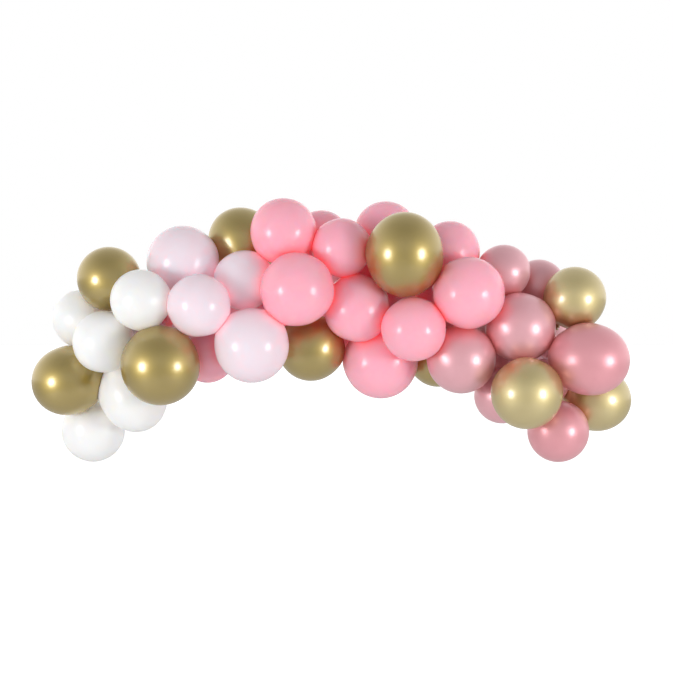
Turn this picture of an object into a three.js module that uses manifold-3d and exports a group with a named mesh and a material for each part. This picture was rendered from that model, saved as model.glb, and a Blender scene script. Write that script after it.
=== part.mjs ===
// Balloon garland: blown latex balloons tied by their knots to a clear plastic strip that bends into
// an arch. Millimetres, +Z up, +X to the right and +Y to the back. The origin is on the strip at the
// crown of the arch, where the garland is tied up; both ends of the strip are flat hanging tabs.
import * as THREE from 'three';
import { mergeVertices } from 'three/addons/utils/BufferGeometryUtils.js';
import Module from 'manifold-3d';

const wasm = await Module();
wasm.setup();

// Strip: a flat ribbon on an arc, whose two ends swing back and turn flat against the wall.
const ARCH_RADIUS = 1056;
const STRIP_WIDTH = 12;
const STRIP_THICKNESS = 1.2;
const STRIP_STEP = 37;
const STRIP_STEPS = 53;
const HOLE_PITCH = 2 * STRIP_STEP;
const HOLES_EACH_SIDE = 13;
const HOLE_DIAMETER = 5;
const TAB_HOLE_DIAMETER = 7;
const BEND_START = 700;
const TAB_START = 925;
const WALL_DEPTH = 215;

// Balloons: a round body that draws in to a short neck with a knot.
const BALLOON_SEGMENTS = 11;
const BODY_RING_ANGLES = [27, 54, 81, 108, 135, 164];
const NECK_LENGTH = 26;
const NECK_RADIUS = 8;
const KNOT_END = 3;
const KNOT_CLEARANCE = 9;
const CONTACT_GAP = 0.4;
const CONTACT_REACH = 90;

const FINISHES = {
  white: { color: 0xf4f3f0, roughness: 0.35, metalness: 0 },
  gold: { color: 0xa8904e, roughness: 0.25, metalness: 1 },
  blush: { color: 0xf0dfe6, roughness: 0.35, metalness: 0 },
  pink: { color: 0xfba8b7, roughness: 0.35, metalness: 0 },
  mauve: { color: 0xcf959e, roughness: 0.4, metalness: 0.3 },
  rose: { color: 0xdd9199, roughness: 0.4, metalness: 0.3 },
  clear: { color: 0xe6ebec, roughness: 0.2, metalness: 0 },
};

// Where each balloon's middle lies: along the strip from the crown (right is positive), out from the
// strip away from the arch's centre, and to the front of it. The size is its blown diameter.
// A long balloon is that many times longer than it is wide. A neck, given as [right, back, up],
// says which way the knot lies where the neighbours have twisted the balloon on the strip.
const BALLOONS = {
  white: [
    { along: -1030, out: -70, front: -105, size: 215 },
    { along: -826, out: -107, front: 16, size: 234, long: 1.13, neck: [-0.45, 0.1, 0.87] },
    { along: -780, out: 200, front: -20, size: 190 },
    { along: -765, out: 80, front: 125, size: 200 },
    { along: -725, out: 90, front: -130, size: 165 },
    { along: -595, out: 110, front: 210, size: 195 },
  ],
  gold: [
    { along: -935, out: 85, front: 15, size: 235, long: 1.06, neck: [1, 0.2, 0.3] },
    { along: -680, out: -70, front: -120, size: 180 },
    { along: -660, out: -100, front: 215, size: 255 },
    { along: -645, out: 235, front: 75, size: 210 },
    { along: -375, out: -185, front: -125, size: 175 },
    { along: -265, out: 166, front: -17, size: 231, long: 1.1, neck: [0.75, 0.2, -0.6] },
    { along: -100, out: -220, front: 60, size: 220 },
    { along: 205, out: 95, front: 245, size: 260, long: 1.11, neck: [0, 0.4, -1] },
    { along: 255, out: 130, front: -110, size: 200 },
    { along: 430, out: -185, front: -55, size: 200 },
    { along: 705, out: 210, front: 90, size: 205 },
    { along: 770, out: -135, front: 220, size: 230 },
    { along: 974, out: 36, front: -35, size: 225, long: 1.1, neck: [-1, 0.3, 0.1] },
  ],
  blush: [
    { along: -530, out: -55, front: -70, size: 140 },
    { along: -445, out: 5, front: 235, size: 200 },
    { along: -445, out: 165, front: 75, size: 235 },
    { along: -325, out: -175, front: 205, size: 240 },
    { along: -290, out: 35, front: 130, size: 195 },
  ],
  pink: [
    { along: -565, out: 95, front: -115, size: 190 },
    { along: -505, out: -145, front: 60, size: 185 },
    { along: -340, out: 5, front: -115, size: 195 },
    { along: -235, out: -90, front: -20, size: 145 },
    { along: -145, out: 165, front: 145, size: 215 },
    { along: -125, out: -30, front: 230, size: 235 },
    { along: -40, out: 140, front: -5, size: 185 },
    { along: 10, out: -145, front: -105, size: 215 },
    { along: 20, out: 100, front: 160, size: 190 },
    { along: 78, out: -92, front: 140, size: 219, long: 1.04, neck: [-0.2, 1, 0.8] },
    { along: 75, out: 50, front: -110, size: 205 },
    { along: 145, out: 165, front: 35, size: 210 },
    { along: 200, out: -255, front: 40, size: 245 },
    { along: 210, out: -85, front: -70, size: 185 },
    { along: 290, out: -130, front: 220, size: 205 },
    { along: 335, out: 155, front: 55, size: 195 },
    { along: 370, out: -15, front: -115, size: 185 },
    { along: 425, out: 40, front: 215, size: 230 },
  ],
  mauve: [
    { along: 500, out: 160, front: 65, size: 175 },
    { along: 502, out: -162, front: 140, size: 223 },
    { along: 535, out: 45, front: -110, size: 200 },
    { along: 615, out: 185, front: -55, size: 180 },
    { along: 625, out: 25, front: 125, size: 225 },
    { along: 640, out: -110, front: -115, size: 190 },
    { along: 725, out: -185, front: 30, size: 185 },
    { along: 730, out: 60, front: -125, size: 170 },
    { along: 814, out: -54, front: 9, size: 154 },
  ],
  rose: [
    { along: 845, out: 85, front: 170, size: 250, long: 1.12, neck: [-1, 0.3, 0.1] },
    { along: 970, out: -135, front: 75, size: 205 },
  ],
};

function archPoint(along, out, front) {
  const angle = along / ARCH_RADIUS;
  const radius = ARCH_RADIUS + out;
  return new THREE.Vector3(radius * Math.sin(angle), -front, radius * Math.cos(angle) - ARCH_RADIUS);
}

// How far a point of the strip has swung from the arch's plane to the wall, from 0 to 1.
function swing(along) {
  return THREE.MathUtils.smoothstep(Math.abs(along), BEND_START, TAB_START);
}

function stripPoint(along) {
  return archPoint(along, 0, -swing(along) * (WALL_DEPTH - STRIP_THICKNESS / 2));
}

// The ribbon's own axes at one place: its width, and its thickness, which faces the wall at a tab.
function stripAxes(along) {
  const step = 1;
  const forward = stripPoint(along + step).sub(stripPoint(along - step)).normalize();
  const outward = archPoint(along, 1, 0).sub(archPoint(along, 0, 0));
  const turn = swing(along) * Math.PI / 2;
  const width = new THREE.Vector3(0, Math.cos(turn), 0).addScaledVector(outward, Math.sin(turn));
  width.addScaledVector(forward, -width.dot(forward)).normalize();
  return { width, thickness: new THREE.Vector3().crossVectors(width, forward).normalize() };
}

function toSolid(geometry) {
  geometry.deleteAttribute('normal');
  geometry.deleteAttribute('uv');
  const merged = mergeVertices(geometry, 1e-4);
  const vertProperties = new Float32Array(merged.attributes.position.array);
  const triVerts = new Uint32Array(merged.index.array);
  return new wasm.Manifold(new wasm.Mesh({ numProp: 3, vertProperties, triVerts }));
}

function toGeometry(solid) {
  const mesh = solid.getMesh();
  const geometry = new THREE.BufferGeometry();
  geometry.setAttribute('position', new THREE.BufferAttribute(new Float32Array(mesh.vertProperties), 3));
  geometry.setIndex(new THREE.BufferAttribute(new Uint32Array(mesh.triVerts), 1));
  return geometry;
}

// A ribbon of rectangular section through a row of stations, closed at both ends.
function ribbonGeometry() {
  const positions = [];
  const index = [];
  const corners = [[-0.5, -0.5], [0.5, -0.5], [0.5, 0.5], [-0.5, 0.5]];
  for (let i = 0; i <= STRIP_STEPS; i += 1) {
    const along = (i - STRIP_STEPS / 2) * STRIP_STEP;
    const { width, thickness } = stripAxes(along);
    for (const [u, v] of corners) {
      const corner = stripPoint(along)
        .addScaledVector(width, u * STRIP_WIDTH)
        .addScaledVector(thickness, v * STRIP_THICKNESS);
      positions.push(corner.x, corner.y, corner.z);
    }
  }
  for (let i = 0; i < STRIP_STEPS; i += 1) {
    for (let k = 0; k < 4; k += 1) {
      const a = 4 * i + k;
      const b = 4 * i + (k + 1) % 4;
      index.push(a, b + 4, b, a, a + 4, b + 4);
    }
  }
  const last = 4 * STRIP_STEPS;
  index.push(0, 1, 2, 0, 2, 3, last, last + 2, last + 1, last, last + 3, last + 2);
  const geometry = new THREE.BufferGeometry();
  geometry.setAttribute('position', new THREE.Float32BufferAttribute(positions, 3));
  geometry.setIndex(index);
  return geometry;
}

// A drill for one round hole through the ribbon, along its thickness.
function drill(along, diameter) {
  const sides = 6;
  const length = 12;
  const geometry = new THREE.CylinderGeometry(diameter / 2, diameter / 2, length, sides);
  const { thickness } = stripAxes(along);
  const turn = new THREE.Quaternion().setFromUnitVectors(new THREE.Vector3(0, 1, 0), thickness);
  geometry.applyQuaternion(turn);
  const middle = stripPoint(along);
  geometry.translate(middle.x, middle.y, middle.z);
  return toSolid(geometry);
}

function makeStrip() {
  let strip = toSolid(ribbonGeometry());
  for (let hole = -HOLES_EACH_SIDE; hole <= HOLES_EACH_SIDE; hole += 1) {
    const isTab = Math.abs(hole) === HOLES_EACH_SIDE;
    strip = strip.subtract(drill(hole * HOLE_PITCH, isTab ? TAB_HOLE_DIAMETER : HOLE_DIAMETER));
  }
  const mesh = new THREE.Mesh(toGeometry(strip), new THREE.MeshStandardMaterial(FINISHES.clear));
  mesh.name = 'balloon_strip';
  return mesh;
}

// A balloon's place, its radius and the way from its middle to its knot, which is tied at the nearest
// hole of the strip unless a neck says otherwise.
function placeBalloon(finish, number, { along, out, front, size, long = 1, neck }) {
  const middle = archPoint(along, out, front);
  const lastHole = HOLES_EACH_SIDE - 1;
  const nearest = THREE.MathUtils.clamp(Math.round(along / HOLE_PITCH), -lastHole, lastHole);
  const hole = stripPoint(nearest * HOLE_PITCH);
  const toHole = hole.clone().sub(middle);
  const knotWay = (neck ? new THREE.Vector3(...neck) : toHole.clone()).normalize();
  const radius = size / 2;
  const room = neck ? Infinity : toHole.length() - KNOT_CLEARANCE - radius;
  const neckLength = Math.min(NECK_LENGTH, room);
  return { name: `${finish}_balloon_${number}`, finish, middle, knotWay, radius, long, neckLength };
}

// The outline from the balloon's crown to its knot, as radius and height, turned about its axis.
function balloonProfile({ radius, long, neckLength }) {
  const wide = radius / Math.sqrt(long);
  const tall = radius * Math.sqrt(long);
  const outline = [new THREE.Vector2(0, tall)];
  for (const degrees of BODY_RING_ANGLES) {
    const angle = THREE.MathUtils.degToRad(degrees);
    outline.push(new THREE.Vector2(wide * Math.sin(angle), tall * Math.cos(angle)));
  }
  outline.push(new THREE.Vector2(NECK_RADIUS, -tall - neckLength + KNOT_END));
  outline.push(new THREE.Vector2(0, -tall - neckLength));
  return outline.reverse();
}

// Touching balloons press each other flat. A point past the plane where two of them meet is drawn
// back towards its own balloon's middle, so each side keeps half the contact gap.
function pressAgainst(geometry, balloon, others) {
  const walls = [];
  for (const other of others) {
    const way = other.middle.clone().sub(balloon.middle);
    const distance = way.length();
    if (other === balloon || distance > balloon.radius + other.radius + CONTACT_REACH) continue;
    const reach = (distance ** 2 + balloon.radius ** 2 - other.radius ** 2) / (2 * distance);
    walls.push({ way: way.normalize(), reach: reach - CONTACT_GAP / 2 });
  }
  const position = geometry.attributes.position;
  const point = new THREE.Vector3();
  for (let i = 0; i < position.count; i += 1) {
    point.fromBufferAttribute(position, i);
    for (const { way, reach } of walls) {
      const past = point.dot(way);
      if (past > reach) point.multiplyScalar(reach / past);
    }
    position.setXYZ(i, point.x, point.y, point.z);
  }
}

function makeBalloon(balloon, others) {
  const geometry = new THREE.LatheGeometry(balloonProfile(balloon), BALLOON_SEGMENTS);
  const away = balloon.knotWay.clone().negate();
  const turn = new THREE.Quaternion().setFromUnitVectors(new THREE.Vector3(0, 1, 0), away);
  geometry.applyQuaternion(turn);
  pressAgainst(geometry, balloon, others);
  geometry.deleteAttribute('normal');
  geometry.deleteAttribute('uv');
  const mesh = new THREE.Mesh(
    mergeVertices(geometry, 1e-3),
    new THREE.MeshStandardMaterial(FINISHES[balloon.finish]),
  );
  mesh.name = balloon.name;
  mesh.position.copy(balloon.middle);
  return mesh;
}

const balloons = Object.entries(BALLOONS).flatMap(
  ([finish, list]) => list.map((size, i) => placeBalloon(finish, i + 1, size)),
);

const garland = new THREE.Group();
garland.add(makeStrip());
for (const balloon of balloons) garland.add(makeBalloon(balloon, balloons));

export default garland;
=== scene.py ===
import math

import bmesh
import bpy
import numpy as np
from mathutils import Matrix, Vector


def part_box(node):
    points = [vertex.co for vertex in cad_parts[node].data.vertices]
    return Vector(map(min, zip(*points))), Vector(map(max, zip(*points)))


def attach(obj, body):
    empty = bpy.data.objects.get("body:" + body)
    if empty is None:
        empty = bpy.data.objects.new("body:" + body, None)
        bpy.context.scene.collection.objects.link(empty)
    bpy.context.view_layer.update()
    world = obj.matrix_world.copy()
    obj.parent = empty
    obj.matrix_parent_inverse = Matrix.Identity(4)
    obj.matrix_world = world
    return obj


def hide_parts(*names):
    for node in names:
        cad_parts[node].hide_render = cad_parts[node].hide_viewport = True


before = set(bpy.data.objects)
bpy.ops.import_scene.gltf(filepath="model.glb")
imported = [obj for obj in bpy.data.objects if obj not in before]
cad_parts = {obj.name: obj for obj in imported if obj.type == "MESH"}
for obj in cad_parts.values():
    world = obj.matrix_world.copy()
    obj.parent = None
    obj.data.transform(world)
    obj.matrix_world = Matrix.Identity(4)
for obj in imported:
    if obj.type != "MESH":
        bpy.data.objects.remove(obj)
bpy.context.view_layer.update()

# --- The strip --------------------------------------------------------------------------------
# A clear plastic ribbon, punched flat with a row of large and small holes and then bent into the
# arch. Its two ends swing back to the wall and turn flat against it, as tabs to hang it by.

strip_width = 0.012
strip_thickness = 0.0012
strip_steps = 240
strip_bend_start = 0.700
strip_tab_start = 0.925
knot_hole_pitch = 0.037
knot_hole_diameter = 0.005
small_hole_diameter = 0.0028
tab_hole_place = 0.962
tab_hole_diameter = 0.007
drill_sides = 24
drill_length = 0.02

strip_low, strip_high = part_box("balloon_strip")
strip_half_span = strip_high.x
strip_drop = strip_high.z - strip_low.z - strip_thickness / 2
arch_radius = (strip_half_span ** 2 + strip_drop ** 2) / (2 * strip_drop)
strip_end = arch_radius * math.asin(strip_half_span / arch_radius)
wall_depth = strip_high.y - strip_thickness / 2

# Small holes lie between the knots' holes, so the whole row has half their pitch.
hole_pitch = knot_hole_pitch / 2
holes_each_side = int((tab_hole_place - tab_hole_diameter) / hole_pitch) - 1


def add_node(tree, kind, inputs=(), **settings):
    """A node with its settings made and its inputs filled, by plain values or by other nodes' outputs."""
    node = tree.nodes.new(kind)
    for name, value in settings.items():
        setattr(node, name, value)
    for place, value in dict(inputs).items():
        if isinstance(value, bpy.types.NodeSocket):
            tree.links.new(value, node.inputs[place])
        else:
            node.inputs[place].default_value = value
    return node


def add_math(tree, operation, *values):
    """One calculation on plain values and outputs, as a Math node's output."""
    return add_node(tree, "ShaderNodeMath", enumerate(values), operation=operation).outputs[0]


def add_mix(tree, share, first, second, kind="FLOAT"):
    """A mix of two values or colours, with this share of the second, as a Mix node's output."""
    mix = add_node(tree, "ShaderNodeMix", {"Factor": share, "A": first, "B": second}, data_type=kind)
    return mix.outputs["Result"]


def start_tree(name, sockets):
    """A geometry node tree with these named inputs. Returns the tree and its inputs."""
    tree = bpy.data.node_groups.new(name, "GeometryNodeTree")
    tree.interface.new_socket("Geometry", in_out="OUTPUT", socket_type="NodeSocketGeometry")
    for label, kind in sockets.items():
        tree.interface.new_socket(label, in_out="INPUT", socket_type="NodeSocket" + kind)
    return tree, tree.nodes.new("NodeGroupInput").outputs


def end_tree(tree, geometry, material):
    """Ends a tree with the mesh made real, smooth and of one material."""
    real = add_node(tree, "GeometryNodeRealizeInstances", {"Geometry": geometry})
    smooth = add_node(tree, "GeometryNodeSetShadeSmooth", {"Geometry": real.outputs[0]})
    coloured = add_node(
        tree, "GeometryNodeSetMaterial", {"Geometry": smooth.outputs[0], "Material": material}
    )
    add_node(tree, "NodeGroupOutput", {"Geometry": coloured.outputs[0]})


def made_by(tree, name, start_mesh, values):
    """The plain piece that a tree makes from a start mesh and its named inputs."""
    piece = bpy.data.objects.new(name, start_mesh)
    bpy.context.scene.collection.objects.link(piece)
    modifier = piece.modifiers.new(tree.name, "NODES")
    modifier.node_group = tree
    for socket in tree.interface.items_tree:
        if socket.in_out == "INPUT" and socket.name in values:
            modifier[socket.identifier] = values[socket.name]
    made = piece.evaluated_get(bpy.context.evaluated_depsgraph_get())
    piece.data = bpy.data.meshes.new_from_object(made)
    piece.data.name = name
    piece.modifiers.clear()
    bpy.data.meshes.remove(start_mesh)
    return piece


def punched_ribbon():
    """The tree for a flat ribbon along X with its holes punched through it along Z."""
    tree, given = start_tree("punched_ribbon", {
        "Length": "Float", "Width": "Float", "Thickness": "Float", "Steps": "Int",
        "Hole Pitch": "Float", "Holes": "Int", "Large Hole": "Float", "Small Hole": "Float",
        "Tab Hole Place": "Float", "Tab Hole": "Float", "Drill Sides": "Int",
        "Drill Length": "Float", "Plastic": "Material",
    })
    size = add_node(tree, "ShaderNodeCombineXYZ", {
        "X": given["Length"], "Y": given["Width"], "Z": given["Thickness"],
    })
    ribbon = add_node(tree, "GeometryNodeMeshCube", {
        "Size": size.outputs[0], "Vertices X": given["Steps"], "Vertices Y": 3,
    })
    drill = add_node(tree, "GeometryNodeMeshCylinder", {
        "Vertices": given["Drill Sides"], "Radius": 0.5, "Depth": 1.0,
    })

    def drill_row(count, start, step, diameter):
        """A row of real drills along the ribbon."""
        row = add_node(tree, "GeometryNodeMeshLine", {
            "Count": count,
            "Start Location": add_node(tree, "ShaderNodeCombineXYZ", {"X": start}).outputs[0],
            "Offset": add_node(tree, "ShaderNodeCombineXYZ", {"X": step}).outputs[0],
        })
        drill_size = add_node(tree, "ShaderNodeCombineXYZ", {
            "X": diameter, "Y": diameter, "Z": given["Drill Length"],
        })
        drills = add_node(tree, "GeometryNodeInstanceOnPoints", {
            "Points": row.outputs[0], "Instance": drill.outputs[0], "Scale": drill_size.outputs[0],
        })
        real = add_node(tree, "GeometryNodeRealizeInstances", {"Geometry": drills.outputs[0]})
        return real.outputs[0]

    # The row is centred, and every second hole in it is a small one.
    run = add_math(tree, "MULTIPLY", given["Hole Pitch"], add_math(tree, "SUBTRACT", given["Holes"], 1))
    row_start = add_math(tree, "MULTIPLY", run, -0.5)
    is_small = add_math(tree, "MODULO", add_node(tree, "GeometryNodeInputIndex").outputs[0], 2)
    diameter = add_mix(tree, is_small, given["Large Hole"], given["Small Hole"])
    tab_start = add_math(tree, "MULTIPLY", given["Tab Hole Place"], -1)
    tab_step = add_math(tree, "MULTIPLY", given["Tab Hole Place"], 2)

    punched = add_node(tree, "GeometryNodeMeshBoolean", operation="DIFFERENCE", solver="EXACT")
    tree.links.new(ribbon.outputs[0], punched.inputs["Mesh 1"])
    for drills in (drill_row(given["Holes"], row_start, given["Hole Pitch"], diameter),
                   drill_row(2, tab_start, tab_step, given["Tab Hole"])):
        tree.links.new(drills, punched.inputs["Mesh 2"])
    end_tree(tree, punched.outputs[0], given["Plastic"])
    return tree


def bend_ribbon(mesh):
    """Bends a flat ribbon into the arch and swings its ends back to the wall, a quarter turn round."""
    flat = np.empty(len(mesh.vertices) * 3)
    mesh.vertices.foreach_get("co", flat)
    along, across, up = flat.reshape(-1, 3).T
    angle = along / arch_radius
    none = np.zeros_like(angle)
    outward = np.column_stack([np.sin(angle), none, np.cos(angle)])
    onward = np.column_stack([np.cos(angle), none, -np.sin(angle)])
    back = np.array([0.0, 1.0, 0.0])
    # The swing to the wall eases in and out along the bend, and its slope tilts the ribbon.
    bend_length = strip_tab_start - strip_bend_start
    share = np.clip((abs(along) - strip_bend_start) / bend_length, 0, 1)
    swing = share ** 2 * (3 - 2 * share)
    slope = 6 * share * (1 - share) / bend_length * np.sign(along)
    forward = onward + (slope * wall_depth)[:, None] * back
    forward /= np.linalg.norm(forward, axis=1)[:, None]
    turn = swing[:, None] * math.pi / 2
    width = np.cos(turn) * back + np.sin(turn) * outward
    width -= np.sum(width * forward, axis=1)[:, None] * forward
    width /= np.linalg.norm(width, axis=1)[:, None]
    thickness = np.cross(width, forward)
    line = outward * arch_radius + (swing * wall_depth)[:, None] * back - [0, 0, arch_radius]
    bent = line + across[:, None] * width + up[:, None] * thickness
    mesh.vertices.foreach_set("co", bent.ravel())
    mesh.update()


def start_material(name):
    """A material with a Principled shader. Returns it, its tree and the shader."""
    material = bpy.data.materials.new(name)
    material.use_nodes = True
    return material, material.node_tree, material.node_tree.nodes["Principled BSDF"]


def add_grain(tree, shader, scale, detail, roughness, roughness_range, bump, bump_height):
    """Gives a surface a fine noise, in its roughness, up and down by the range, and in its height."""
    place = add_node(tree, "ShaderNodeTexCoord").outputs["Object"]
    grain = add_node(tree, "ShaderNodeTexNoise", {"Vector": place, "Scale": scale, "Detail": detail})
    rough = add_node(tree, "ShaderNodeMapRange", {
        "Value": grain.outputs[0], "To Min": roughness - roughness_range,
        "To Max": roughness + roughness_range,
    })
    tree.links.new(rough.outputs[0], shader.inputs["Roughness"])
    uneven = add_node(tree, "ShaderNodeBump", {
        "Height": grain.outputs[0], "Strength": bump, "Distance": bump_height,
    })
    tree.links.new(uneven.outputs[0], shader.inputs["Normal"])


def clear_strip_plastic():
    """Clear vinyl, with the faint haze and scuffs of a ribbon that came off a roll."""
    material, tree, shader = start_material("clear_strip_plastic")
    shader.inputs["Base Color"].default_value = (0.93, 0.96, 0.97, 1)
    shader.inputs["Transmission Weight"].default_value = 1.0
    shader.inputs["IOR"].default_value = 1.2
    shader.inputs["Alpha"].default_value = 0.3
    add_grain(tree, shader, scale=160.0, detail=3.0, roughness=0.09, roughness_range=0.05,
              bump=0.15, bump_height=0.0004)
    return material


strip = made_by(punched_ribbon(), "punched_strip", bpy.data.meshes.new("start"), {
    "Length": 2 * strip_end, "Width": strip_width, "Thickness": strip_thickness,
    "Steps": strip_steps, "Hole Pitch": hole_pitch, "Holes": 2 * holes_each_side + 1,
    "Large Hole": knot_hole_diameter, "Small Hole": small_hole_diameter,
    "Tab Hole Place": tab_hole_place, "Tab Hole": tab_hole_diameter,
    "Drill Sides": drill_sides, "Drill Length": drill_length, "Plastic": clear_strip_plastic(),
})
bend_ribbon(strip.data)
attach(strip, "root")
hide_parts("balloon_strip")

# --- White balloons ---------------------------------------------------------------------------
# Dipped latex, blown up and tied by a knot in the neck. Each body is round, draws in to the neck
# and lies pressed flat against the balloons around it, as they're packed tight on the strip.

balloon_rings = 80
balloon_segments = 108
neck_length_most = 0.026
neck_length_least = 0.010
neck_radius = 0.0055
contact_gap = 0.0004
contact_rounding = 0.02
near_reach = 0.055
swelling = 0.045


def measure_balloon(name):
    """A balloon's middle, the way to its knot, its two radii and its neck's length, off its solid."""
    merge_distance = 1e-6
    loose = bmesh.new()
    loose.from_mesh(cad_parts[name].data)
    bmesh.ops.remove_doubles(loose, verts=loose.verts, dist=merge_distance)
    points = np.array([vertex.co for vertex in loose.verts])
    loose.free()

    # The knot's corner is the one with the closest neighbours, and the crown is straight across.
    knot_corners = 11
    crown_distance = 0.05
    never_zero = 1e-9
    gaps = np.sort(np.linalg.norm(points[:, None] - points[None], axis=2), axis=1)
    knot = points[np.argmin(gaps[:, 1:1 + knot_corners].mean(axis=1))]
    offset = points - knot
    rough_way = offset.mean(axis=0) / np.linalg.norm(offset.mean(axis=0))
    reach = np.linalg.norm(offset, axis=1) + never_zero
    crown = points[np.argmax(np.where(reach > crown_distance, offset @ rough_way / reach, -1))]
    axis = (crown - knot) / np.linalg.norm(crown - knot)

    # The neck's corners are near the knot and near the axis. The body's, where no neighbour has
    # pressed them in, lie on one oval: aside^2 = a + b height - c height^2. Each fit drops more of
    # those that lie deeper than it, down to the last tolerance.
    neck_reach = 0.03
    neck_widest = 0.012
    tolerances = np.geomspace(0.02, 0.0002, 16)
    height = offset @ axis
    aside_squared = np.maximum(reach ** 2 - height ** 2, 0)
    is_body = (reach > neck_reach) | (aside_squared > neck_widest ** 2)
    rows = np.column_stack([np.ones_like(height), height, -height ** 2])
    kept = is_body
    for tolerance in tolerances:
        a, b, c = np.linalg.lstsq(rows[kept], aside_squared[kept], rcond=None)[0]
        wide = math.sqrt(a + b * b / (4 * c))
        sunk = (rows @ (a, b, c) - aside_squared) / (2 * wide)
        kept = is_body & (sunk < tolerance)
    long = wide / math.sqrt(c)
    middle = knot + axis * b / (2 * c)
    neck = np.clip(np.linalg.norm(knot - middle) - long, neck_length_least, neck_length_most)
    return {"middle": middle, "knot_way": -axis, "wide": wide, "long": long, "neck": float(neck)}


balloon_names = [name for name in sorted(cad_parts) if "_balloon_" in name]
balloons = {name: measure_balloon(name) for name in balloon_names}


def add_vector_math(tree, operation, *vectors):
    """One calculation on vectors, as a Vector Math node's outputs."""
    return add_node(tree, "ShaderNodeVectorMath", enumerate(vectors), operation=operation).outputs


def scale_vector(tree, vector, scale):
    """A vector made longer or shorter, as a Vector Math node's output."""
    return add_node(tree, "ShaderNodeVectorMath", {0: vector, "Scale": scale}, operation="SCALE").outputs[0]


def store_value(tree, geometry, name, value):
    """Stores a number on each point under a name. Returns the geometry."""
    return add_node(tree, "GeometryNodeStoreNamedAttribute", {
        "Geometry": geometry, "Name": name, "Value": value,
    }, data_type="FLOAT", domain="POINT").outputs[0]


def stored_value(tree, name):
    """The number that is stored on each point under a name."""
    return add_node(tree, "GeometryNodeInputNamedAttribute", {"Name": name}).outputs[0]


def move_points(tree, geometry, **to):
    """Moves each point to a Position or by an Offset. Returns the geometry."""
    return add_node(tree, "GeometryNodeSetPosition", {"Geometry": geometry, **to}).outputs[0]


def visit_neighbours(tree, given, geometry):
    """A repeat zone that takes the balloons around in turn. Returns its two ends, the way to the middle
    of the balloon in turn, and that balloon's half width times its half length."""
    count = add_node(tree, "GeometryNodeAttributeDomainSize", {
        "Geometry": given["Neighbours"]}, component="MESH")
    zone_in = tree.nodes.new("GeometryNodeRepeatInput")
    zone_out = tree.nodes.new("GeometryNodeRepeatOutput")
    zone_in.pair_with_output(zone_out)
    tree.links.new(count.outputs["Point Count"], zone_in.inputs["Iterations"])
    tree.links.new(geometry, zone_in.inputs["Geometry"])
    other_middle = add_node(tree, "GeometryNodeSampleIndex", {
        "Geometry": given["Neighbours"], "Index": zone_in.outputs["Iteration"],
        "Value": add_node(tree, "GeometryNodeInputPosition").outputs[0],
    }, data_type="FLOAT_VECTOR")
    other_size = add_node(tree, "GeometryNodeSampleIndex", {
        "Geometry": given["Neighbours"], "Index": zone_in.outputs["Iteration"],
        "Value": stored_value(tree, "blown_size"),
    }, data_type="FLOAT")
    apart = add_vector_math(tree, "SUBTRACT", other_middle.outputs[0], given["Middle"])["Vector"]
    return zone_in, zone_out, apart, other_size.outputs[0]


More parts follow.
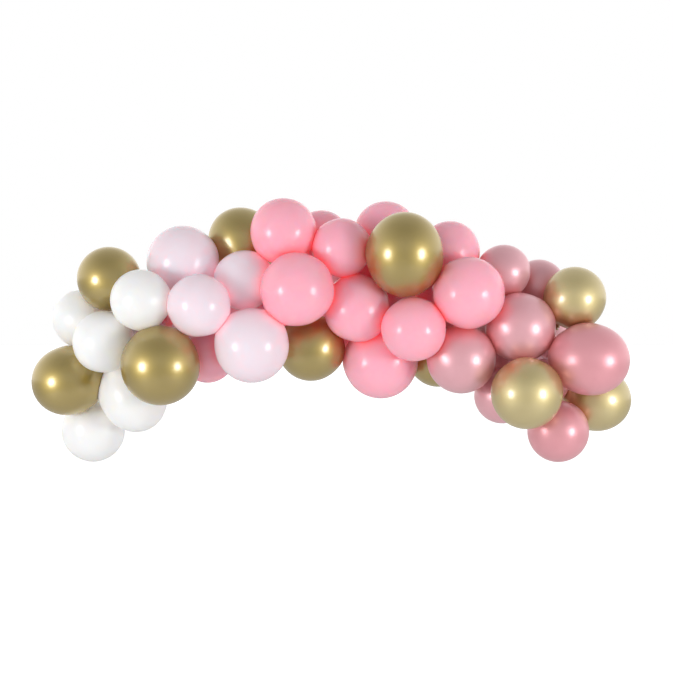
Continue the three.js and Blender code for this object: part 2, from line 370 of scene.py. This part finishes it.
def blown_balloon():
    """The tree for one balloon. Its start mesh is the middles of the balloons around it, as points."""
    tree, given = start_tree("blown_balloon", {
        "Neighbours": "Geometry", "Middle": "Vector", "Knot Way": "Vector", "Wide": "Float",
        "Long": "Float", "Neck": "Float", "Neck Radius": "Float", "Draw In": "Float",
        "Contact Gap": "Float", "Contact Rounding": "Float", "Near Reach": "Float",
        "Swelling": "Float", "Rings": "Int", "Segments": "Int", "Latex": "Material",
    })

    def calc(operation, *values):
        """One calculation in this tree."""
        return add_math(tree, operation, *values)

    # A ball's rings, counted from the crown at 0 to the knot's end at 1: first the body, then the neck.
    body_share = 0.75
    ball = add_node(tree, "GeometryNodeMeshUVSphere", {
        "Segments": given["Segments"], "Rings": given["Rings"], "Radius": 1.0,
    })
    place = add_node(tree, "GeometryNodeInputPosition").outputs[0]
    part = add_node(tree, "ShaderNodeSeparateXYZ", {0: place}).outputs
    ring = calc("DIVIDE", calc("ARCCOSINE", part["Z"]), math.pi)
    body = calc("MINIMUM", calc("DIVIDE", ring, body_share), 1.0)
    past_body = calc("DIVIDE", calc("SUBTRACT", ring, body_share), 1 - body_share)
    neck = calc("MAXIMUM", past_body, 0.0)

    # The body is an oval that narrows towards the knot, and the neck takes over from its last ring.
    body_end_angle = math.radians(166)
    narrowing_power = 3.0
    angle = calc("MULTIPLY", body, body_end_angle)
    oval = calc("MULTIPLY", given["Wide"], calc("SINE", angle))
    narrowing = calc("MULTIPLY", given["Draw In"], calc("POWER", body, narrowing_power))
    across = calc("MULTIPLY", oval, calc("SUBTRACT", 1.0, narrowing))
    down = calc("MULTIPLY", given["Long"], calc("MULTIPLY", calc("COSINE", angle), -1.0))

    # The shoulder is a hollow quarter round; then come the knot and the rolled lip behind it. The
    # outline gives half the width at each place along the neck, as a share of the neck's own width.
    shoulder_share = 0.45
    shoulder_run = 0.35
    knot_outline = [
        (0.0, 0.5), (0.45, 0.50), (0.54, 0.52), (0.62, 0.80), (0.70, 0.80), (0.77, 0.42),
        (0.84, 0.46), (0.92, 0.90), (0.965, 0.86), (1.0, 0.0),
    ]
    shoulder_done = calc("MINIMUM", calc("DIVIDE", neck, shoulder_share), 1.0)
    shoulder = calc("MULTIPLY", shoulder_done, math.pi / 2)
    shoulder_left = calc("SUBTRACT", 1.0, calc("SINE", shoulder))
    outline = add_node(tree, "ShaderNodeFloatCurve", {"Value": neck})
    curve = outline.mapping.curves[0]
    curve.points[0].location = knot_outline[0]
    curve.points[1].location = knot_outline[-1]
    for point in knot_outline[1:-1]:
        curve.points.new(*point)
    outline.mapping.update()
    neck_width = calc("MULTIPLY", given["Neck Radius"], 2.0)
    knot_across = calc("MULTIPLY", outline.outputs[0], neck_width)
    shoulder_across = calc("MULTIPLY", shoulder_left, calc("SUBTRACT", across, given["Neck Radius"]))
    neck_across = calc("ADD", shoulder_across, knot_across)
    past_shoulder = calc("DIVIDE", calc("SUBTRACT", neck, shoulder_share), 1 - shoulder_share)
    knot_run = calc("MULTIPLY", 1 - shoulder_run, calc("MAXIMUM", past_shoulder, 0.0))
    curved_run = calc("MULTIPLY", calc("SUBTRACT", 1.0, calc("COSINE", shoulder)), shoulder_run)
    run = calc("ADD", curved_run, knot_run)
    left_of_body = calc("MULTIPLY", given["Long"], 1 - math.cos(math.pi - body_end_angle))
    neck_reach = calc("ADD", given["Neck"], left_of_body)

    # Body and neck together give each point's place across and down, and the whole is turned to its knot.
    all_down = calc("ADD", down, calc("MULTIPLY", run, neck_reach))
    all_across = add_mix(tree, calc("GREATER_THAN", neck, 0.0), across, neck_across)
    flat = add_node(tree, "ShaderNodeCombineXYZ", {"X": part["X"], "Y": part["Y"]})
    around = add_vector_math(tree, "NORMALIZE", flat.outputs[0])["Vector"]
    wide_part = scale_vector(tree, around, all_across)
    deep_part = add_node(tree, "ShaderNodeCombineXYZ", {"Z": calc("MULTIPLY", all_down, -1.0)})
    shape = add_vector_math(tree, "ADD", wide_part, deep_part.outputs[0])["Vector"]
    turn = add_node(tree, "FunctionNodeAlignRotationToVector", {
        "Vector": scale_vector(tree, given["Knot Way"], -1.0)}, axis="Z")
    turned = add_node(tree, "FunctionNodeRotateVector", {
        "Vector": shape, "Rotation": turn.outputs[0]})

    # How slack the latex is: stretched thin on the body, thick at the neck and in a spot at the crown.
    crown_spot_share = 0.1
    crown_spot_slack = 0.12
    neck_slack_start = body_share + 0.1
    neck_slack_power = 9.0
    crown_fade = calc("SUBTRACT", 1.0, calc("MULTIPLY", body, 1 / crown_spot_share))
    crown_slack = calc("MULTIPLY", crown_spot_slack, calc("MAXIMUM", crown_fade, 0.0))
    neck_fade = calc("MINIMUM", calc("DIVIDE", ring, neck_slack_start), 1.0)
    neck_slack = calc("POWER", neck_fade, neck_slack_power)
    marked = store_value(tree, ball.outputs[0], "slack", calc("MAXIMUM", crown_slack, neck_slack))
    lone = store_value(tree, marked, "nearness", 0.0)
    formed = move_points(tree, lone, Position=turned.outputs[0])

    # The air that a flat pushes aside swells the latex around it, so each point is told how near it
    # is to another balloon, and the nearest swell the most. The latex's painted shade and glow near other
    # balloons are read from the same nearness.
    swelling_power = 2.0
    near_in, near_out, apart, other_size = visit_neighbours(tree, given, formed)
    from_other = add_vector_math(tree, "DISTANCE", place, apart)["Value"]
    near = add_node(tree, "ShaderNodeMapRange", {
        "Value": calc("SUBTRACT", from_other, calc("SQRT", other_size)),
        "From Min": 0.0, "From Max": given["Near Reach"], "To Min": 1.0, "To Max": 0.0,
    })
    nearness = stored_value(tree, "nearness")
    nearer = store_value(tree, near_in.outputs["Geometry"], "nearness", calc(
        "MAXIMUM", nearness, near.outputs[0]))
    tree.links.new(nearer, near_out.inputs["Geometry"])
    near_swell = calc("MULTIPLY", given["Swelling"], calc("POWER", nearness, swelling_power))
    swell = calc("MULTIPLY", near_swell, calc("SUBTRACT", 1.0, stored_value(tree, "slack")))
    swollen = move_points(tree, near_out.outputs["Geometry"], Position=scale_vector(
        tree, place, calc("ADD", 1.0, swell)))

    # Pressing: no point goes past the plane where its balloon and a neighbour meet. A point on the far
    # side counts as a millimetre towards the neighbour, so that it stays where it is.
    least_past = 0.001
    press_in, press_out, apart, other_size = visit_neighbours(tree, given, swollen)
    distance = add_vector_math(tree, "LENGTH", apart)["Value"]
    way = add_vector_math(tree, "NORMALIZE", apart)["Vector"]
    size_more = calc("SUBTRACT", calc("MULTIPLY", given["Wide"], given["Long"]), other_size)
    power = calc("ADD", calc("MULTIPLY", distance, distance), size_more)
    half_gap = calc("MULTIPLY", given["Contact Gap"], 0.5)
    wall = calc("SUBTRACT", calc("DIVIDE", power, calc("MULTIPLY", distance, 2.0)), half_gap)
    past = add_vector_math(tree, "DOT_PRODUCT", place, way)["Value"]
    share = calc("DIVIDE", wall, calc("MAXIMUM", past, least_past))
    kept_share = calc("SMOOTH_MIN", share, 1.0, given["Contact Rounding"])
    pressed = move_points(tree, press_in.outputs["Geometry"], Position=scale_vector(
        tree, place, kept_share))
    tree.links.new(pressed, press_out.inputs["Geometry"])
    in_place = move_points(tree, press_out.outputs["Geometry"], Offset=given["Middle"])
    end_tree(tree, in_place, given["Latex"])
    return tree


balloon_tree = blown_balloon()


def blow_up(name, latex, draw_in=0.04):
    """The finished balloon that stands for a node, pressed against every balloon that it touches."""
    own = balloons[name]
    around = []
    for other_name, other in balloons.items():
        distance = np.linalg.norm(other["middle"] - own["middle"])
        if other_name != name and distance < own["long"] + other["long"] + own["neck"]:
            around.append(other)
    points = bpy.data.meshes.new("neighbours")
    points.from_pydata([tuple(other["middle"]) for other in around], [], [])
    blown = points.attributes.new("blown_size", "FLOAT", "POINT")
    blown.data.foreach_set("value", [other["wide"] * other["long"] for other in around])
    piece = made_by(balloon_tree, "blown_" + name, points, {
        "Middle": own["middle"].tolist(), "Knot Way": own["knot_way"].tolist(),
        "Wide": own["wide"], "Long": own["long"], "Neck": own["neck"], "Neck Radius": neck_radius,
        "Draw In": draw_in, "Contact Gap": contact_gap, "Contact Rounding": contact_rounding,
        "Near Reach": near_reach, "Swelling": swelling, "Rings": balloon_rings,
        "Segments": balloon_segments, "Latex": latex,
    })
    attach(piece, "root")
    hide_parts(name)
    return piece


def named(start):
    """The balloons whose names start like this, in order."""
    return [name for name in balloon_names if name.startswith(start)]


def stretch_colour(tree, stretched, slack, cloud_scale, cloud_detail, cloud_depth):
    """The latex's own colour, from stretched thin to slack, with faint clouds of the slack colour."""
    place = add_node(tree, "ShaderNodeTexCoord").outputs["Object"]
    slackness = add_node(tree, "ShaderNodeAttribute", attribute_name="slack").outputs["Fac"]
    clouds = add_node(tree, "ShaderNodeTexNoise", {
        "Vector": place, "Scale": cloud_scale, "Detail": cloud_detail})
    cloudiness = add_node(tree, "ShaderNodeMapRange", {
        "Value": clouds.outputs[0], "From Min": 0.3, "From Max": 0.7, "To Min": 0.0,
        "To Max": cloud_depth})
    share = add_math(tree, "MAXIMUM", slackness, cloudiness.outputs[0])
    return add_mix(tree, share, (*stretched, 1), (*slack, 1), "RGBA")


def paint_gap_glow(tree, shader, painted_shade, fade, glow):
    """Paints a glow on latex near other balloons: it emits light in its painted shade colour, standing in
    for light that passes between them. Returns how near, 0 to 1: the higher the fade, the closer to the
    gap it keeps."""
    nearness = add_node(tree, "ShaderNodeAttribute", attribute_name="nearness").outputs["Fac"]
    painted_gap_share = add_math(tree, "POWER", nearness, fade)
    tree.links.new(add_math(tree, "MULTIPLY", painted_gap_share, glow), shader.inputs["Emission Strength"])
    shader.inputs["Emission Color"].default_value = (*painted_shade, 1)
    return painted_gap_share


def plain_latex(name, stretched, slack, painted_shade, fade, glow, roughness, spread):
    """Coloured latex: paler where it is stretched thin, deeper at the crown, neck and knot. Where balloons
    lie close it has a painted shade and glow in its painted shade colour, standing in for light that comes
    through both, and a painted rim shade where the wall is seen edge on. Spread is how far red, green and
    blue light go inside it."""
    material, tree, shader = start_material(name)
    own_colour = stretch_colour(
        tree, stretched, slack, cloud_scale=14.0, cloud_detail=2.0, cloud_depth=0.08)
    # Painted glow and painted shade near other balloons.
    painted_gap_share = paint_gap_glow(tree, shader, painted_shade, fade, glow)
    # Painted rim shade: Layer Weight moves the colour towards the painted shade colour as the wall turns
    # edge on to the camera.
    rim_sharpness = 0.25
    rim_most = 0.45
    edge_on = add_node(tree, "ShaderNodeLayerWeight", {"Blend": rim_sharpness}).outputs["Facing"]
    painted_rim_shade = add_math(tree, "MULTIPLY", edge_on, rim_most)
    # The colour takes the painted shade colour by the larger of the nearness share and the rim share.
    shade = add_math(tree, "MAXIMUM", painted_gap_share, painted_rim_shade)
    colour = add_mix(tree, shade, own_colour, (*painted_shade, 1), "RGBA")
    tree.links.new(colour, shader.inputs["Base Color"])
    add_grain(tree, shader, scale=420.0, detail=2.0, roughness=roughness, roughness_range=0.04,
              bump=0.05, bump_height=0.0003)
    shader.inputs["Subsurface Weight"].default_value = 0.8
    shader.inputs["Subsurface Radius"].default_value = spread
    shader.inputs["Subsurface Scale"].default_value = 0.06
    return material


# White latex gets a warm painted shade and glow in its gaps and a painted rim shade.
white_latex = plain_latex(
    "white_latex", stretched=(0.845, 0.85, 0.855), slack=(0.80, 0.78, 0.74), painted_shade=(0.87, 0.84, 0.80),
    fade=2.0, glow=0.15, roughness=0.30, spread=(0.6, 0.5, 0.4))
for name in named("white_balloon"):
    blow_up(name, white_latex)

# --- Blush balloons ---------------------------------------------------------------------------
# The same dipped latex in a very pale pink, blown and tied in the same way. More light gets into it
# than into the white, and the gaps between balloons have a painted pink glow and shade.

blush_latex = plain_latex(
    "blush_latex", stretched=(0.825, 0.75, 0.815), slack=(0.93, 0.62, 0.70), painted_shade=(0.96, 0.60, 0.66),
    fade=2.0, glow=0.15, roughness=0.24, spread=(1.0, 0.25, 0.25))
for name in named("blush_balloon"):
    blow_up(name, blush_latex)

# --- Pink balloons ----------------------------------------------------------------------------
# Candy pink latex, blown in mixed sizes and packed round the middle of the strip. The gaps between
# them have a painted deep red glow and shade, standing in for light that passes from balloon to balloon.

pink_latex = plain_latex(
    "pink_latex", stretched=(0.99, 0.47, 0.58), slack=(0.95, 0.25, 0.34), painted_shade=(1.0, 0.22, 0.24),
    fade=2.3, glow=0.10, roughness=0.23, spread=(1.0, 0.12, 0.08))
for name in named("pink_balloon"):
    blow_up(name, pink_latex)

# --- Mauve and rose balloons ------------------------------------------------------------------
# Pearl latex, dipped, blown and tied like the rest: mica in the rubber gives a soft metal sheen
# over a dusty pink. The rose ones are deeper and draw in more to the knot.


def pearl_latex(name, stretched, slack, painted_shade, fade, glow, metal, roughness):
    """Latex with mica in it: a fine shimmer that is partly metal, under a thin glossy skin. Its colours,
    and the painted shade and glow near other balloons with their fade, are as in plain latex; it has no
    painted rim shade."""
    material, tree, shader = start_material(name)
    own_colour = stretch_colour(
        tree, stretched, slack, cloud_scale=18.0, cloud_detail=3.0, cloud_depth=0.12)
    # Painted glow and painted shade near other balloons.
    painted_gap_share = paint_gap_glow(tree, shader, painted_shade, fade, glow)
    colour = add_mix(tree, painted_gap_share, own_colour, (*painted_shade, 1), "RGBA")
    tree.links.new(colour, shader.inputs["Base Color"])
    add_grain(tree, shader, scale=900.0, detail=2.0, roughness=roughness, roughness_range=0.06,
              bump=0.08, bump_height=0.0003)
    shader.inputs["Metallic"].default_value = metal
    shader.inputs["Coat Weight"].default_value = 0.35
    shader.inputs["Coat Roughness"].default_value = 0.32
    return material


# Both pearls get a painted deep red shade and glow where balloons lie close.
mauve_pearl = pearl_latex(
    "mauve_pearl_latex", stretched=(0.78, 0.415, 0.46), slack=(0.55, 0.20, 0.22),
    painted_shade=(0.70, 0.22, 0.21), fade=2.2, glow=0.08, metal=0.35, roughness=0.36)
for name in named("mauve_balloon"):
    blow_up(name, mauve_pearl)

rose_pearl = pearl_latex(
    "rose_pearl_latex", stretched=(0.75, 0.335, 0.375), slack=(0.58, 0.18, 0.20),
    painted_shade=(0.72, 0.20, 0.18), fade=2.2, glow=0.08, metal=0.30, roughness=0.36)
for name in named("rose_balloon"):
    blow_up(name, rose_pearl, draw_in=0.11)

# --- Gold balloons ----------------------------------------------------------------------------
# Chrome latex: a metal film in the rubber that mirrors the balloons beside it, a little blurred.
# The last three, at the right end of the strip, are a paler gold.


def chrome_latex(name, stretched, slack, rim, roughness):
    """Latex that mirrors like satin metal, tinted at its rim, with a clearer skin on top."""
    material, tree, shader = start_material(name)
    slackness = add_node(tree, "ShaderNodeAttribute", attribute_name="slack").outputs["Fac"]
    colour = add_mix(tree, slackness, (*stretched, 1), (*slack, 1), "RGBA")
    tree.links.new(colour, shader.inputs["Base Color"])
    add_grain(tree, shader, scale=55.0, detail=4.0, roughness=roughness, roughness_range=0.015,
              bump=0.06, bump_height=0.0006)
    shader.inputs["Metallic"].default_value = 1.0
    shader.inputs["Specular Tint"].default_value = (*rim, 1)
    shader.inputs["Coat Weight"].default_value = 1.0
    shader.inputs["Coat IOR"].default_value = 2.05
    shader.inputs["Coat Roughness"].default_value = 0.26
    return material


chrome_gold = chrome_latex(
    "chrome_gold_latex", stretched=(0.400, 0.288, 0.048), slack=(0.26, 0.17, 0.04),
    rim=(1.0, 0.91, 0.68), roughness=0.46)
pale_gold = chrome_latex(
    "pale_chrome_gold_latex", stretched=(0.61, 0.50, 0.22), slack=(0.42, 0.30, 0.12),
    rim=(0.80, 0.70, 0.50), roughness=0.55)
pale_balloons = {"gold_balloon_11", "gold_balloon_12", "gold_balloon_13"}
for name in named("gold_balloon"):
    blow_up(name, pale_gold if name in pale_balloons else chrome_gold)

# --- The room ---------------------------------------------------------------------------------
# A white studio: a pale floor well below the hung garland, two tall soft boxes in front of it to
# the left and right, and even light from the walls, dimmer from the ceiling and behind the camera.

floor_drop = 2.4
floor_half = 400.0
floor_glow = 0.6
floor_mesh = bpy.data.meshes.new("studio_floor")
floor_mesh.from_pydata(
    [(x * floor_half, y * floor_half, -floor_drop) for x, y in ((-1, -1), (1, -1), (1, 1), (-1, 1))],
    [], [(0, 1, 2, 3)])
floor = bpy.data.objects.new("studio_floor", floor_mesh)
bpy.context.scene.collection.objects.link(floor)
floor_paint, floor_tree, floor_shader = start_material("pale_floor")
floor_shader.inputs["Base Color"].default_value = (0.75, 0.75, 0.75, 1)
floor_shader.inputs["Roughness"].default_value = 0.9
floor_shader.inputs["Emission Color"].default_value = (1, 1, 1, 1)
is_floor_seen = add_node(floor_tree, "ShaderNodeLightPath").outputs["Is Camera Ray"]
floor_tree.links.new(
    add_math(floor_tree, "MULTIPLY", is_floor_seen, floor_glow), floor_shader.inputs["Emission Strength"])
floor_mesh.materials.append(floor_paint)

lamp_width = 1.25
lamp_height = 1.45
lamp_power = 70
lamp_aside = 3.45
lamp_forward = 2.9
lamp_drop = 0.48
light_aim = Vector((0.0, 0.0, -0.30))
for side in (-1, 1):
    lamp = bpy.data.lights.new("soft_box", "AREA")
    lamp.shape = "ELLIPSE"
    lamp.size = lamp_width
    lamp.size_y = lamp_height
    lamp.energy = lamp_power
    box = bpy.data.objects.new("soft_box", lamp)
    box.location = (side * lamp_aside, -lamp_forward, -lamp_drop)
    box.rotation_euler = (light_aim - box.location).to_track_quat("-Z", "Y").to_euler()
    bpy.context.scene.collection.objects.link(box)

light_behind_camera = 0.68
light_behind_garland = 1.30
ceiling_share = 0.54
world = bpy.data.worlds.new("studio")
bpy.context.scene.world = world
world.use_nodes = True
sky = world.node_tree
way = add_node(sky, "ShaderNodeTexCoord").outputs["Generated"]
parts = add_node(sky, "ShaderNodeSeparateXYZ", {0: way}).outputs
depth_light = add_node(sky, "ShaderNodeMapRange", {
    "Value": parts["Y"], "From Min": -0.7, "From Max": 0.4,
    "To Min": light_behind_camera, "To Max": light_behind_garland})
top_shade = add_node(sky, "ShaderNodeMapRange", {
    "Value": parts["Z"], "From Min": 0.3, "From Max": 0.9, "To Min": 1.0, "To Max": ceiling_share})
wall_light = add_math(sky, "MULTIPLY", depth_light.outputs[0], top_shade.outputs[0])
# The camera itself sees a plain white room behind the garland.
is_seen = add_node(sky, "ShaderNodeLightPath").outputs["Is Camera Ray"]
background = sky.nodes["Background"]
background.inputs["Color"].default_value = (1, 1, 1, 1)
sky.links.new(add_mix(sky, is_seen, wall_light, 1.0), background.inputs["Strength"])

camera_distance = 6.0
camera_aside = 0.005
camera_drop = 0.1876
view_width = 2.2344
camera_data = bpy.data.cameras.new("camera")
camera_data.sensor_width = 36.0
camera_data.lens = camera_data.sensor_width * camera_distance / view_width
camera = bpy.data.objects.new("camera", camera_data)
camera.location = (camera_aside, -camera_distance, -camera_drop)
camera.rotation_euler = (math.pi / 2, 0, 0)
bpy.context.scene.collection.objects.link(camera)
bpy.context.scene.camera = camera
bpy.context.scene.view_settings.view_transform = "Standard"
# Light has to pass from balloon to balloon many times before the gaps look right.
bpy.context.scene.cycles.max_bounces = 16
bpy.context.scene.cycles.diffuse_bounces = 12
bpy.context.scene.cycles.glossy_bounces = 6
